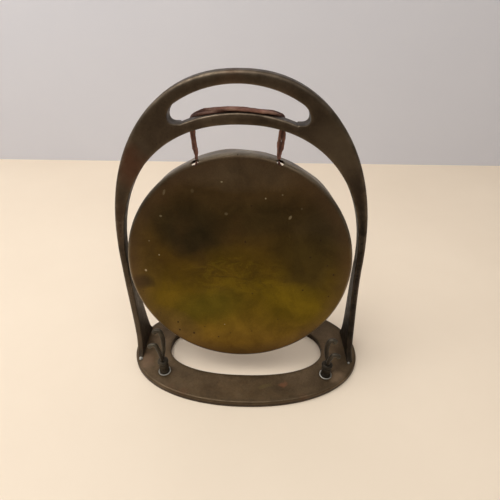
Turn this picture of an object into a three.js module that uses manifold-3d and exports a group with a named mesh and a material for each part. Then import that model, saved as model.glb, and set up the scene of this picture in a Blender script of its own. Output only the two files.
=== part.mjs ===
// Tabletop gong in a stirrup-shaped brass stand, with two forked beater rests.
// Millimetres, +Z up, the striking face looks along -Y, origin at the centre of the base's underside.
import * as THREE from 'three';
import { mergeVertices } from 'three/addons/utils/BufferGeometryUtils.js';
import Module from 'manifold-3d';

const wasm = await Module();
wasm.setup();

// ---- driving dimensions -------------------------------------------------------------------
const GAP = 0.3; // clearance left between touching pieces

// base plate: a rounded oval with an oval opening
const BASE = { halfX: 92.1, halfY: 53.4, round: 2.13, thick: 5.1, chamfer: 1.6 };
const OPENING = { halfX: 63.4, halfY: 28.7, round: 2.29, chamfer: 0.5 };

// stirrup arch: outline above the springing line is a rounded oval, below it are the two arms
const ARCH = {
  springZ: 91, round: 2.25,
  outerHalfX: 85.4, outerRise: 128.6,
  innerHalfX: 80.6, innerRise: 100.7,
  footOuterX: 87.9, footInnerX: 83.3,
  outerEdge: 2.4, innerEdge: 0.8,
};
// the arch stands a little left of the base's centre, most of all at the crown
const ARCH_SHIFT = -3.2;
const FOOT_SHIFT = -0.9;

// crescent slot in the crown, and the bar under it that carries the thong
const SLOT = { x: -3.7, topZ: 213, topRadius: 65.7, endX: 35.6, floorZ: 191.6 };
const BAR = { topZ: 198.1, topRadius: 86.7, halfLength: 33.4, rearY: 2 };

// gong: a shallow dish with a rounded shoulder and a turned-back rim
const GONG = {
  radius: 77.6, wall: 1.8, shoulder: 3.2, rimDepth: 18.6, dome: 1.2,
  x: -4, y: -10.4, z: 96.1, tiltDeg: 9,
  holeRadius: 2.35, holeLeft: 27.3, holeRight: 25.3, holeDeg: 52,
};

// leather thong: a flat lace laid over the bar and knotted inside the gong
const LACE = { width: 4.2, thick: 2, y: -2, turnZ: 191.4, holeInset: 1.1 };

// forked beater rests, one each side at the front of the base
const REST = { x: 63.5, y: -26.4, postRadius: 3.7, postTop: 14.8, collarTop: 17.9, tipSpread: 7 };
const REST_TIP = { left: 40.4, right: 33.8 }; // height of the fork tips
const BUSH = { inner: 4.1, outer: 4.7, top: 5.4 };

// ---- materials ----------------------------------------------------------------------------
function metal(color, roughness) {
  return new THREE.MeshStandardMaterial({ color, roughness, metalness: 1 });
}
const frameBrass = metal(0x5b4a36, 0.48);
const gongBrass = metal(0x77682c, 0.4);
const forkBrass = metal(0x66604c, 0.42);
const brightBrass = metal(0xc9c2a8, 0.3);
const leather = new THREE.MeshStandardMaterial({ color: 0x6a3f33, roughness: 0.75, metalness: 0 });

// ---- solid helpers ------------------------------------------------------------------------
// positions only, shared corners joined, slivers of zero area dropped
function welded(geometry) {
  const bare = new THREE.BufferGeometry();
  bare.setAttribute('position', geometry.getAttribute('position').clone());
  if (geometry.index) bare.setIndex(geometry.index.clone());
  const merged = mergeVertices(bare, 1e-4);
  const old = merged.index.array;
  const kept = [];
  for (let i = 0; i < old.length; i += 3) {
    const [p, q, r] = [old[i], old[i + 1], old[i + 2]];
    if (p !== q && q !== r && r !== p) kept.push(p, q, r);
  }
  merged.setIndex(kept);
  return facingOut(merged);
}

function toSolid(geometry) {
  const merged = welded(geometry);
  return new wasm.Manifold(new wasm.Mesh({
    numProp: 3,
    vertProperties: new Float32Array(merged.getAttribute('position').array),
    triVerts: new Uint32Array(merged.index.array),
  }));
}

function toGeometry(solid) {
  const mesh = solid.getMesh();
  const geometry = new THREE.BufferGeometry();
  geometry.setAttribute('position', new THREE.BufferAttribute(new Float32Array(mesh.vertProperties), 3));
  geometry.setIndex(new THREE.BufferAttribute(new Uint32Array(mesh.triVerts), 1));
  geometry.computeVertexNormals();
  return geometry;
}

function piece(name, geometry, material) {
  const mesh = new THREE.Mesh(geometry, material);
  mesh.name = name;
  return mesh;
}

// Skin through rings of equal point count. Joined rings close on themselves, others get end caps.
function loft(rings, joined = false) {
  const count = rings[0].length;
  const positions = rings.flat().flatMap((p) => [p.x, p.y, p.z]);
  const index = [];
  const last = joined ? rings.length : rings.length - 1;
  for (let i = 0; i < last; i++) {
    const here = i * count;
    const next = ((i + 1) % rings.length) * count;
    for (let j = 0; j < count; j++) {
      const k = (j + 1) % count;
      index.push(here + j, next + j, next + k);
      index.push(here + j, next + k, here + k);
    }
  }
  if (!joined) {
    const end = (rings.length - 1) * count;
    for (let j = 1; j < count - 1; j++) {
      index.push(0, j, j + 1);
      index.push(end, end + j + 1, end + j);
    }
  }
  const geometry = new THREE.BufferGeometry();
  geometry.setAttribute('position', new THREE.Float32BufferAttribute(positions, 3));
  geometry.setIndex(index);
  return facingOut(geometry);
}

function signedVolume(geometry) {
  const p = geometry.getAttribute('position');
  const at = (i) => new THREE.Vector3().fromBufferAttribute(p, geometry.index.getX(i));
  let volume = 0;
  for (let i = 0; i < geometry.index.count; i += 3) volume += at(i).dot(at(i + 1).cross(at(i + 2)));
  return volume / 6;
}

function facingOut(geometry) {
  if (signedVolume(geometry) < 0) {
    const index = geometry.index;
    for (let i = 0; i < index.count; i += 3) {
      const keep = index.getX(i + 1);
      index.setX(i + 1, index.getX(i + 2));
      index.setX(i + 2, keep);
    }
  }
  geometry.computeVertexNormals();
  return geometry;
}

function smooth(t) {
  const c = THREE.MathUtils.clamp(t, 0, 1);
  return c * c * (3 - 2 * c);
}

// point on a rounded oval |x/a|^n + |y/b|^n = 1
function ovalPoint(angle, halfX, halfY, round) {
  const c = Math.cos(angle);
  const s = Math.sin(angle);
  const x = halfX * Math.sign(c) * Math.abs(c) ** (2 / round);
  const y = halfY * Math.sign(s) * Math.abs(s) ** (2 / round);
  return [x, y];
}

function ovalRing(halfX, halfY, round, z, steps = 96) {
  const ring = [];
  for (let i = 0; i < steps; i++) {
    const [x, y] = ovalPoint((2 * Math.PI * i) / steps, halfX, halfY, round);
    ring.push(new THREE.Vector3(x, y, z));
  }
  return ring;
}

function cylinder(radius, z0, z1, x, y, steps = 40) {
  const geometry = new THREE.CylinderGeometry(radius, radius, z1 - z0, steps);
  return geometry.rotateX(Math.PI / 2).translate(x, y, (z0 + z1) / 2);
}

// part turned about +Z from (radius, height) pairs, moved to x, y
function turned(profile, x, y, steps = 32) {
  const points = [...profile, profile[0]].map(([r, h]) => new THREE.Vector2(r, h));
  const geometry = new THREE.LatheGeometry(points, steps);
  return welded(geometry.rotateX(Math.PI / 2).translate(x, y, 0));
}

// ---- base plate ---------------------------------------------------------------------------
function basePlate() {
  const { halfX, halfY, round, thick, chamfer } = BASE;
  const o = OPENING;
  const rings = [
    ovalRing(halfX - 0.4, halfY - 0.4, round, 0),
    ovalRing(halfX, halfY, round, 0.6),
    ovalRing(halfX, halfY, round, thick - chamfer),
    ovalRing(halfX - 0.45 * chamfer, halfY - 0.45 * chamfer, round, thick - 0.4 * chamfer),
    ovalRing(halfX - chamfer, halfY - chamfer, round, thick),
    ovalRing(o.halfX + o.chamfer, o.halfY + o.chamfer, o.round, thick),
    ovalRing(o.halfX, o.halfY, o.round, thick - o.chamfer),
    ovalRing(o.halfX, o.halfY, o.round, 0),
  ];
  let solid = toSolid(loft(rings, true));
  for (const side of [-1, 1]) {
    solid = solid.subtract(toSolid(cylinder(BUSH.outer + GAP, -1, thick + 1, side * REST.x, REST.y)));
  }
  return toGeometry(solid);
}

// ---- stirrup arch -------------------------------------------------------------------------
const FOOT_Z = BASE.thick + GAP;

function archShift(z) {
  const up = smooth((z - FOOT_Z) / (ARCH.springZ - FOOT_Z));
  return FOOT_SHIFT + (ARCH_SHIFT - FOOT_SHIFT) * up;
}

// the casting is 8.6 mm deep beside the gong, 10 mm at the crown, and flares towards the feet
function archFront(z) {
  const low = Math.max(0, (100 - z) / 95);
  const flare = 6 * Math.exp(-(z - FOOT_Z) / 6);
  return -(5 + 3.7 * low ** 2.2 + flare + smooth((z - 110) / 80));
}

function archRear(z) {
  const low = Math.max(0, (100 - z) / 95);
  const flare = 4.5 * Math.exp(-(z - FOOT_Z) / 6);
  return 3.6 + 12.6 * low ** 1.3 + flare + 0.5 * smooth((z - 110) / 80);
}

// rounded rectangle between an inner and an outer point, as deep as the casting at that height
function archSection(inner, outer) {
  const width = inner.distanceTo(outer);
  const across = outer.clone().sub(inner).normalize();
  const zMid = (inner.z + outer.z) / 2;
  const front = archFront(zMid);
  const rear = archRear(zMid);
  const big = Math.min(ARCH.outerEdge, 0.36 * width);
  const small = Math.min(ARCH.innerEdge, 0.2 * width);
  const ring = [];
  const corner = (u, y, r, startDeg, steps) => {
    for (let i = 0; i <= steps; i++) {
      const a = THREE.MathUtils.degToRad(startDeg + (90 * i) / steps);
      const along = u + r * Math.cos(a);
      const at = inner.clone().addScaledVector(across, along);
      ring.push(new THREE.Vector3(at.x, y + r * Math.sin(a), at.z));
    }
  };
  corner(width - big, rear - big, big, 0, 3);
  corner(small, rear - small, small, 90, 1);
  corner(small, front + small, small, 180, 1);
  corner(width - big, front + big, big, 270, 3);
  for (const p of ring) p.x += archShift(zMid);
  return ring;
}

function armStation(side, z) {
  const down = (ARCH.springZ - z) / (ARCH.springZ - FOOT_Z);
  const outerX = ARCH.outerHalfX + (ARCH.footOuterX - ARCH.outerHalfX) * down;
  const innerX = ARCH.innerHalfX + (ARCH.footInnerX - ARCH.innerHalfX) * down;
  return [new THREE.Vector3(side * innerX, 0, z), new THREE.Vector3(side * outerX, 0, z)];
}

function crownStation(angle) {
  const [xi, zi] = ovalPoint(angle, ARCH.innerHalfX, ARCH.innerRise, ARCH.round);
  const [xo, zo] = ovalPoint(angle, ARCH.outerHalfX, ARCH.outerRise, ARCH.round);
  return [
    new THREE.Vector3(xi, 0, ARCH.springZ + zi),
    new THREE.Vector3(xo, 0, ARCH.springZ + zo),
  ];
}

function archStations() {
  const armSteps = 16;
  const crownSteps = 48;
  const arm = (side) => {
    const stations = [];
    for (let i = 0; i < armSteps; i++) {
      const t = (i / armSteps) ** 1.7;
      stations.push(armStation(side, FOOT_Z + (ARCH.springZ - FOOT_Z) * t));
    }
    return stations;
  };
  const crown = [];
  for (let i = 0; i <= crownSteps; i++) crown.push(crownStation(Math.PI * (1 - i / crownSteps)));
  return [...arm(-1), ...crown, ...arm(1).reverse()];
}

// crescent between the slot's upper arc and the bar's top arc, with round ends
function slotShape() {
  const topCentre = SLOT.topZ - SLOT.topRadius;
  const barCentre = BAR.topZ - BAR.topRadius;
  const onTop = (x) => topCentre + Math.sqrt(SLOT.topRadius ** 2 - x * x);
  const onBar = (x) => barCentre + Math.sqrt(BAR.topRadius ** 2 - x * x);
  const shape = new THREE.Shape();
  const steps = 20;
  for (let i = 0; i <= steps; i++) {
    const x = SLOT.endX * (1 - (2 * i) / steps);
    if (i === 0) shape.moveTo(x, onTop(x));
    else shape.lineTo(x, onTop(x));
  }
  const corner = onTop(SLOT.endX);
  const lean = SLOT.endX / (corner - topCentre);
  const shoulder = [SLOT.endX + 3.9, corner - 3.9 * lean];
  const heel = [SLOT.endX + 7.4, SLOT.floorZ];
  shape.bezierCurveTo(-shoulder[0], shoulder[1], -heel[0], heel[1], -SLOT.endX, SLOT.floorZ);
  shape.lineTo(-BAR.halfLength, SLOT.floorZ);
  for (let i = 0; i <= steps; i++) {
    const x = BAR.halfLength * (-1 + (2 * i) / steps);
    shape.lineTo(x, onBar(x));
  }
  shape.lineTo(BAR.halfLength, SLOT.floorZ);
  shape.lineTo(SLOT.endX, SLOT.floorZ);
  shape.bezierCurveTo(heel[0], heel[1], shoulder[0], shoulder[1], SLOT.endX, corner);
  return shape;
}

function extrudedAlongY(shape, y0, y1) {
  const geometry = new THREE.ExtrudeGeometry(shape, { depth: y1 - y0, bevelEnabled: false });
  return geometry.rotateX(Math.PI / 2).translate(0, y1, 0);
}

function box(x0, x1, y0, y1, z0, z1) {
  const geometry = new THREE.BoxGeometry(x1 - x0, y1 - y0, z1 - z0);
  return geometry.translate((x0 + x1) / 2, (y0 + y1) / 2, (z0 + z1) / 2);
}

function stirrupArch() {
  const skin = loft(archStations().map(([inner, outer]) => archSection(inner, outer)));
  const margin = BASE.chamfer + 0.2;
  const footprint = loft([
    ovalRing(BASE.halfX - margin, BASE.halfY - margin, BASE.round, 0),
    ovalRing(BASE.halfX - margin, BASE.halfY - margin, BASE.round, 240),
  ]);
  const slot = extrudedAlongY(slotShape(), -20, 20).translate(SLOT.x, 0, 0);
  const reach = BAR.halfLength;
  const recess = box(SLOT.x - reach, SLOT.x + reach, BAR.rearY, 20, 180, 199);
  let solid = toSolid(skin).intersect(toSolid(footprint));
  solid = solid.subtract(toSolid(slot)).subtract(toSolid(recess));
  return toGeometry(solid);
}

// small bead of brazing metal in front of each foot
const BRAZE = { x: 84.5, front: -15, halfWidth: 1.7, depth: 2.2, height: 1.8 };

function footBraze(side) {
  const { x, front, halfWidth, depth, height } = BRAZE;
  const ball = new THREE.SphereGeometry(1, 24, 16).scale(halfWidth, depth, height);
  const solid = toSolid(ball.translate(side * x + FOOT_SHIFT, front, FOOT_Z));
  return toGeometry(solid.trimByPlane([0, -1, 0], -front).trimByPlane([0, 0, 1], FOOT_Z));
}

// ---- gong ---------------------------------------------------------------------------------
// profile in (radius, distance in front of the shoulder plane), from the axis out and back
function gongProfile() {
  const { radius, wall, shoulder, rimDepth, dome } = GONG;
  const flat = radius - shoulder;
  const outer = [];
  const inner = [];
  for (let i = 0; i <= 4; i++) {
    const r = (flat * i) / 4;
    const rise = dome * (1 - (r / flat) ** 2);
    outer.push([r, rise]);
    inner.push([r, rise - wall]);
  }
  for (let i = 1; i <= 4; i++) {
    const a = (Math.PI / 2) * (i / 4);
    outer.push([flat + shoulder * Math.sin(a), shoulder * (Math.cos(a) - 1)]);
    inner.push([flat + (shoulder - wall) * Math.sin(a), (shoulder - wall) * Math.cos(a) - shoulder]);
  }
  outer.push([radius, -rimDepth + 0.5]);
  outer.push([radius - 0.5, -rimDepth]);
  inner.push([radius - wall, -rimDepth]);
  return [...outer, ...inner.reverse()];
}

const HOLE_ANGLE = THREE.MathUtils.degToRad(GONG.holeDeg);

// from the gong's own frame (centre of the shoulder plane, face towards -Y) to its place
function placeGong(geometry) {
  const tilt = THREE.MathUtils.degToRad(GONG.tiltDeg);
  return geometry.rotateX(-tilt).translate(GONG.x, GONG.y, GONG.z);
}

// middle of a hole's mouth, about halfway round the shoulder, in the gong's own frame
function holeMouth(side) {
  const { radius, shoulder } = GONG;
  const x = side < 0 ? -GONG.holeLeft : GONG.holeRight;
  const out = radius - shoulder + shoulder * Math.sin(HOLE_ANGLE);
  const back = shoulder * (1 - Math.cos(HOLE_ANGLE));
  return new THREE.Vector3(x, back, Math.sqrt(out ** 2 - x ** 2));
}

function gongDish() {
  const profile = gongProfile();
  const points = [...profile, profile[0]].map(([r, h]) => new THREE.Vector2(r, h));
  let solid = toSolid(new THREE.LatheGeometry(points, 84).rotateZ(Math.PI));
  for (const side of [-1, 1]) {
    const at = holeMouth(side);
    const drill = new THREE.CylinderGeometry(GONG.holeRadius, GONG.holeRadius, 14, 24);
    drill.rotateX(-HOLE_ANGLE).translate(at.x, at.y, at.z);
    solid = solid.subtract(toSolid(drill));
  }
  return placeGong(toGeometry(solid));
}

// ---- leather thong ------------------------------------------------------------------------
// flat lace through stations { at, wide, width, thick }: wide points across the lace
function lace(stations, steps) {
  const path = new THREE.CatmullRomCurve3(stations.map((s) => new THREE.Vector3(...s.at)));
  const rings = [];
  for (let i = 0; i <= steps; i++) {
    const t = i / steps;
    const slot = Math.min(Math.floor(t * (stations.length - 1)), stations.length - 2);
    const blend = t * (stations.length - 1) - slot;
    const [a, b] = [stations[slot], stations[slot + 1]];
    const along = path.getTangent(t);
    const wide = new THREE.Vector3(...a.wide).lerp(new THREE.Vector3(...b.wide), blend);
    wide.addScaledVector(along, -wide.dot(along)).normalize();
    const up = new THREE.Vector3().crossVectors(along, wide).normalize();
    const width = THREE.MathUtils.lerp(a.width ?? LACE.width, b.width ?? LACE.width, blend);
    const thick = THREE.MathUtils.lerp(a.thick ?? LACE.thick, b.thick ?? LACE.thick, blend);
    rings.push(laceSection(path.getPoint(t), wide, up, width / 2, thick / 2));
  }
  return welded(loft(rings));
}

function laceSection(centre, wide, up, w, h) {
  const soft = 0.4;
  const corners = [
    [w, h - soft], [w - soft, h], [soft - w, h], [-w, h - soft],
    [-w, soft - h], [soft - w, -h], [w - soft, -h], [w, soft - h],
  ];
  return corners.map(([u, v]) => centre.clone().addScaledVector(wide, u).addScaledVector(up, v));
}

function barTopAt(x) {
  return BAR.topZ - BAR.topRadius + Math.sqrt(BAR.topRadius ** 2 - x * x);
}

// along the bar's top, then back over its rear edge and down behind it at each end
function thongBridge() {
  const lift = GAP + LACE.thick / 2;
  const onBar = (x, y) => ({ at: [x, y, barTopAt(x) + lift], wide: [0, 1, 0] });
  const middle = [-19, -12, -6, 0, 6, 12, 18].map((x) => onBar(x, LACE.y));
  const left = [
    { at: [-28.1, 4.7, LACE.turnZ], wide: [0, 1, 0], width: 2.8 },
    { at: [-28.1, 4.6, 192.9], wide: [0, 1, 0], width: 3 },
    { at: [-26.7, 4, barTopAt(26.7) + lift + 0.5], wide: [0, 1, 0], width: 3.3 },
    { at: [-23.6, 1.3, barTopAt(23.6) + lift + 0.45], wide: [0, 1, 0], width: 3.8 },
  ];
  const right = [
    { at: [21.8, 1.2, barTopAt(21.8) + lift + 0.5], wide: [0.1, 1, -0.1], width: 3.8 },
    { at: [24.6, 4.4, 195.4], wide: [0.8, 0.8, 0], width: 3.6 },
    { at: [25.5, 4.6, 193.1], wide: [1, 0.3, 0], width: 3.6 },
    { at: [25.5, 4.6, LACE.turnZ], wide: [1, 0.2, 0], width: 3.6 },
  ];
  return lace([...left, ...middle, ...right], 52);
}

// from behind the bar down to just above a hole's mouth
function thongStrand(side) {
  const mouth = placedPoint(holeMouth(side));
  const local = mouth.x - SLOT.x - side * LACE.holeInset;
  const top = side < 0 ? [-28.1, 4.7] : [25.5, 4.6];
  const across = side < 0 ? [[0, 1, 0], [0.5, 1, 0], [1, 0.6, 0]] : [[1, 0.2, 0], [1, 0.3, 0], [0.7, 1, 0]];
  const width = side < 0 ? 2.7 : 3.5;
  const endZ = mouth.z + 0.9;
  const startZ = LACE.turnZ - 2.5 * GAP;
  return lace([
    { at: [top[0], top[1], startZ], wide: across[0], width },
    { at: [top[0], top[1], startZ - 1.5], wide: across[0], width },
    { at: [0.6 * top[0] + 0.4 * local, 0.6 * top[1] + 0.4 * mouth.y, 181], wide: across[1], width },
    { at: [local, mouth.y + 0.3, endZ + 4], wide: across[2], width: 2.9, thick: 1.8 },
    { at: [local, mouth.y - 0.2, endZ], wide: across[2], width: 2.4, thick: 1.3 },
  ], 16);
}

function placedPoint(point) {
  const tilt = THREE.MathUtils.degToRad(GONG.tiltDeg);
  const place = new THREE.Vector3(GONG.x, GONG.y, GONG.z);
  return point.applyAxisAngle(new THREE.Vector3(1, 0, 0), -tilt).add(place);
}

// the end of the lace: a short tail through the hole and the knot that it ends in
function thongKnot(side) {
  const mouth = holeMouth(side);
  const tail = new THREE.CylinderGeometry(1.6, 1.2, 6, 12).translate(0, 3.2, 0);
  const knot = new THREE.SphereGeometry(1, 16, 10).scale(4.2, 2.9, 3.6).translate(0, 7.4, 0);
  const solid = toSolid(tail).add(toSolid(knot));
  const geometry = toGeometry(solid).rotateX(-HOLE_ANGLE);
  return placeGong(geometry.translate(mouth.x, mouth.y, mouth.z));
}

// ---- beater rests -------------------------------------------------------------------------
function restBush(side) {
  const { inner, outer, top } = BUSH;
  const profile = [[inner, 0.6], [outer, 0.6], [outer, top - 0.2], [outer - 0.2, top], [inner, top]];
  return turned(profile, side * REST.x, REST.y);
}

function restPost(side) {
  const r = REST.postRadius;
  const profile = [
    [0, 0.6], [r, 0.6], [r, 8.2], [r - 0.5, 8.7], [r - 0.5, 9.3], [r, 9.8],
    [r, REST.postTop - 1.2], [r - 0.6, REST.postTop - 0.6], [r - 0.6, REST.postTop], [0, REST.postTop],
  ];
  return turned(profile, side * REST.x, REST.y);
}

function restCollar(side) {
  const r = REST.postRadius + 0.5;
  const [low, high] = [REST.postTop + GAP, REST.collarTop];
  const profile = [[0, low], [r - 0.5, low], [r, low + 0.5], [r, high - 0.8], [r - 0.8, high], [0, high]];
  return turned(profile, side * REST.x, REST.y);
}

// one horn of a fork: rises beside its twin, leans away from it and curls outward to a round tip
function restProng(side, facing) {
  const tipZ = side < 0 ? REST_TIP.left : REST_TIP.right;
  const rootZ = REST.collarTop + GAP;
  const rise = tipZ - rootZ;
  const spread = REST.tipSpread;
  const girth = facing < 0 ? 0.88 : 1.04;
  const stations = [
    { out: 0, back: 1.8, z: rootZ, r: 1.25 },
    { out: 0, back: 1.85, z: rootZ + 1.5, r: 1.25 },
    { out: -0.7, back: 0.55 * spread, z: rootZ + 0.3 * rise, r: 1.35 },
    { out: -0.8, back: 0.85 * spread, z: rootZ + 0.68 * rise, r: 1.5 },
    { out: 0.7, back: 0.97 * spread, z: tipZ + 0.8, r: 1.5 },
    { out: 3, back: spread, z: tipZ + 2, r: 1.5 },
    { out: 5.8, back: spread, z: tipZ, r: 1.8 },
  ];
  const place = (s) => new THREE.Vector3(side * (REST.x + s.out), REST.y + facing * s.back, s.z);
  const path = new THREE.CatmullRomCurve3(stations.map(place));
  const last = stations.length - 1;
  const steps = 18;
  const frames = path.computeFrenetFrames(steps);
  const rings = [];
  for (let i = 0; i <= steps; i++) {
    const t = i / steps;
    const centre = path.getPointAt(t);
    const slot = Math.min(Math.floor(t * last), last - 1);
    const radius = girth * THREE.MathUtils.lerp(stations[slot].r, stations[slot + 1].r, t * last - slot);
    rings.push(roundSection(centre, frames.normals[i], frames.binormals[i], radius));
  }
  const tip = path.getPointAt(1);
  const ahead = frames.tangents[steps];
  for (const a of [30, 55, 78]) {
    const turn = THREE.MathUtils.degToRad(a);
    const radius = girth * 1.8 * Math.cos(turn);
    const centre = tip.clone().addScaledVector(ahead, girth * 1.8 * Math.sin(turn));
    rings.push(roundSection(centre, frames.normals[steps], frames.binormals[steps], radius));
  }
  return welded(loft(rings));
}

function roundSection(centre, normal, binormal, radius, steps = 12) {
  const ring = [];
  for (let i = 0; i < steps; i++) {
    const a = (2 * Math.PI * i) / steps;
    const p = centre.clone().addScaledVector(normal, radius * Math.cos(a));
    ring.push(p.addScaledVector(binormal, radius * Math.sin(a)));
  }
  return ring;
}

// ---- assembly -----------------------------------------------------------------------------
const SIDES = [[-1, 'left'], [1, 'right']];

const stand = new THREE.Group();
stand.add(piece('base_plate', basePlate(), frameBrass));
stand.add(piece('stirrup_arch', stirrupArch(), frameBrass));

const rests = new THREE.Group();
for (const [side, name] of SIDES) {
  stand.add(piece(`foot_braze_${name}`, footBraze(side), brightBrass));
  rests.add(piece(`rest_bush_${name}`, restBush(side), brightBrass));
  rests.add(piece(`rest_post_${name}`, restPost(side), forkBrass));
  rests.add(piece(`rest_collar_${name}`, restCollar(side), forkBrass));
  rests.add(piece(`rest_prong_front_${name}`, restProng(side, -1), forkBrass));
  rests.add(piece(`rest_prong_back_${name}`, restProng(side, 1), forkBrass));
}

const thong = new THREE.Group();
thong.position.x = SLOT.x;
thong.add(piece('thong_bridge', thongBridge(), leather));
for (const [side, name] of SIDES) thong.add(piece(`thong_strand_${name}`, thongStrand(side), leather));

const hanging = new THREE.Group();
hanging.add(piece('gong', gongDish(), gongBrass));
for (const [side, name] of SIDES) hanging.add(piece(`thong_knot_${name}`, thongKnot(side), leather));

const tamTam = new THREE.Group();
tamTam.name = 'tam_tam_gong';
tamTam.add(stand, rests, thong, hanging);

export default tamTam;
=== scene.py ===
# Looks of the tabletop gong: patinated bronze stand, brass gong, leather thong.
# Shapes are worked out in millimetres in the row frame and become metres in make_object().
import math

import bpy
import numpy as np
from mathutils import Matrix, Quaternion, Vector, geometry, noise


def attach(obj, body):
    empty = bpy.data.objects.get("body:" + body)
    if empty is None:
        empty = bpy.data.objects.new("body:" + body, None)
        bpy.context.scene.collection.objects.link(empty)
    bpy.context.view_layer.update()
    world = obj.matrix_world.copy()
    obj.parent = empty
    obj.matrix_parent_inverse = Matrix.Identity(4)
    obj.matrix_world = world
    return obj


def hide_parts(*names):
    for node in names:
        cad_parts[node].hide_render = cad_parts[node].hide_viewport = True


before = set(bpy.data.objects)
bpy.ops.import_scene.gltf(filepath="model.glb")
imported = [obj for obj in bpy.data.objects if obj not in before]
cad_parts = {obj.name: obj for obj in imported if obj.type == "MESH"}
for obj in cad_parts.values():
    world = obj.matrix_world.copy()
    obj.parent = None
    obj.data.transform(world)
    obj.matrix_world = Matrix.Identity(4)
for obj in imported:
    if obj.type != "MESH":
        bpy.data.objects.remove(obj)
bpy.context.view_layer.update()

MM = 0.001

# ---- dimensions, the same as the solids' -----------------------------------------------------
BASE = dict(half_x=92.1, half_y=53.4, power=2.13, thick=5.1, round=1.6)
OPENING = dict(half_x=63.4, half_y=28.7, power=2.29, round=0.5)
ARCH = dict(spring_z=91.0, power=2.25, outer_half=85.4, outer_rise=128.6, inner_half=80.6,
            inner_rise=100.7, foot_outer=87.9, foot_inner=83.3, outer_edge=2.4, inner_edge=0.9)
ARCH_SHIFT, FOOT_SHIFT = -3.2, -0.9
FOOT_Z = BASE["thick"] + 0.3
SLOT = dict(x=-3.7, top_z=213.0, top_radius=65.7, end_x=35.6, floor_z=191.6)
BAR = dict(top_z=198.1, top_radius=86.7, half=33.4, rear_y=2.0)
GONG = dict(radius=77.6, wall=1.8, shoulder=3.2, rim=18.6, dome=1.2, x=-4.0, y=-10.4, z=96.1,
            tilt=math.radians(9), hole_r=2.35, hole_left=27.3, hole_right=25.3,
            hole_angle=math.radians(52))
REST = dict(x=63.5, y=-26.4, post_r=3.7, post_top=14.8, collar_top=17.9, spread=7.0)
REST_TIP = {-1: 40.4, 1: 33.8}
BUSH = dict(inner=4.1, outer=4.7, top=5.4)
BRAZE = dict(x=84.5, front=-15.0, half_width=1.7, depth=2.2, height=1.8)
THONG_TURN_Z = 191.4
STRAND_IN = 1.1  # the strands enter their holes beside the middle, towards each other
SIDES = ((-1, "left"), (1, "right"))


# ---- small helpers ---------------------------------------------------------------------------
def smooth(t):
    c = np.clip(t, 0.0, 1.0)
    return c * c * (3 - 2 * c)


def wobble(points, scale, seed):
    """One smooth value from -1 to 1 per point. scale is the size of a feature in mm."""
    shift = Vector((seed * 13.7, seed * 7.1, seed * 3.3))
    return np.array([noise.noise(Vector(p) / scale + shift) for p in points])


def around(count):
    """Angles evenly round a full turn."""
    return np.linspace(0, 2 * math.pi, count, endpoint=False)


def strips(rings, count, start=0, flip=False):
    """Quads between neighbouring rings of count points, the first ring's points from start on."""
    faces = []
    for a in range(start, start + (rings - 1) * count, count):
        b = a + count
        for j in range(count):
            k = (j + 1) % count
            faces.append((a + j, a + k, b + k, b + j) if flip else (a + j, b + j, b + k, a + k))
    return faces


def placed(name, data):
    """A new object in the scene."""
    obj = bpy.data.objects.new(name, data)
    bpy.context.scene.collection.objects.link(obj)
    return obj


def make_object(name, points, faces, material, body, replaces=(), sharp=None, values=None):
    """A mesh from points in mm, riding on a body. values are extra numbers per point."""
    mesh = bpy.data.meshes.new(name)
    mesh.from_pydata([tuple(p) for p in np.asarray(points) * MM], [], faces)
    mesh.validate()
    for label, numbers in (values or {}).items():
        layer = mesh.attributes.new(label, "FLOAT", "POINT")
        layer.data.foreach_set("value", np.asarray(numbers, np.float32))
    mesh.polygons.foreach_set("use_smooth", [True] * len(mesh.polygons))
    if sharp:
        mesh.set_sharp_from_angle(angle=math.radians(sharp))
    obj = placed(name, mesh)
    mesh.materials.append(material)
    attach(obj, body)
    if replaces:
        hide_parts(*replaces)
    return obj


def apply_modifiers(obj):
    """The object's mesh with its modifiers worked in."""
    bpy.context.view_layer.update()
    graph = bpy.context.evaluated_depsgraph_get()
    mesh = bpy.data.meshes.new_from_object(obj.evaluated_get(graph))
    obj.modifiers.clear()
    obj.data = mesh


def oval(angle, half_x, half_y, power):
    c, s = np.cos(angle), np.sin(angle)
    x = half_x * np.sign(c) * np.abs(c) ** (2 / power)
    y = half_y * np.sign(s) * np.abs(s) ** (2 / power)
    return x, y


def resample(loop, step):
    """Closed polyline at an even spacing near step."""
    closed = np.vstack([loop, loop[:1]])
    at = np.concatenate([[0], np.cumsum(np.linalg.norm(np.diff(closed, axis=0), axis=1))])
    count = int(round(at[-1] / step))
    want = np.linspace(0, at[-1], count, endpoint=False)
    return np.column_stack([np.interp(want, at, closed[:, k]) for k in range(closed.shape[1])])


def inward(loop):
    """Mitred normals of a closed loop, pointing left of its direction."""
    ahead = np.roll(loop, -1, axis=0) - loop
    ahead /= np.linalg.norm(ahead, axis=1)[:, None]
    back = np.roll(ahead, 1, axis=0)
    normal = np.column_stack([-(ahead + back)[:, 1], (ahead + back)[:, 0]])
    length = np.linalg.norm(normal, axis=1)
    return normal / length[:, None] / np.maximum(length / 2, 0.6)[:, None]


def inside(points, loop):
    """Even-odd test of many points against one closed loop."""
    x, y = points[:, 0:1], points[:, 1:2]
    x0, y0 = loop[:, 0], loop[:, 1]
    x1, y1 = np.roll(x0, -1), np.roll(y0, -1)
    crosses = (y0 > y) != (y1 > y)
    with np.errstate(divide="ignore", invalid="ignore"):
        reach = (x1 - x0) * (y - y0) / (y1 - y0) + x0
    return (np.count_nonzero(crosses & (x < reach), axis=1) % 2) == 1


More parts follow.
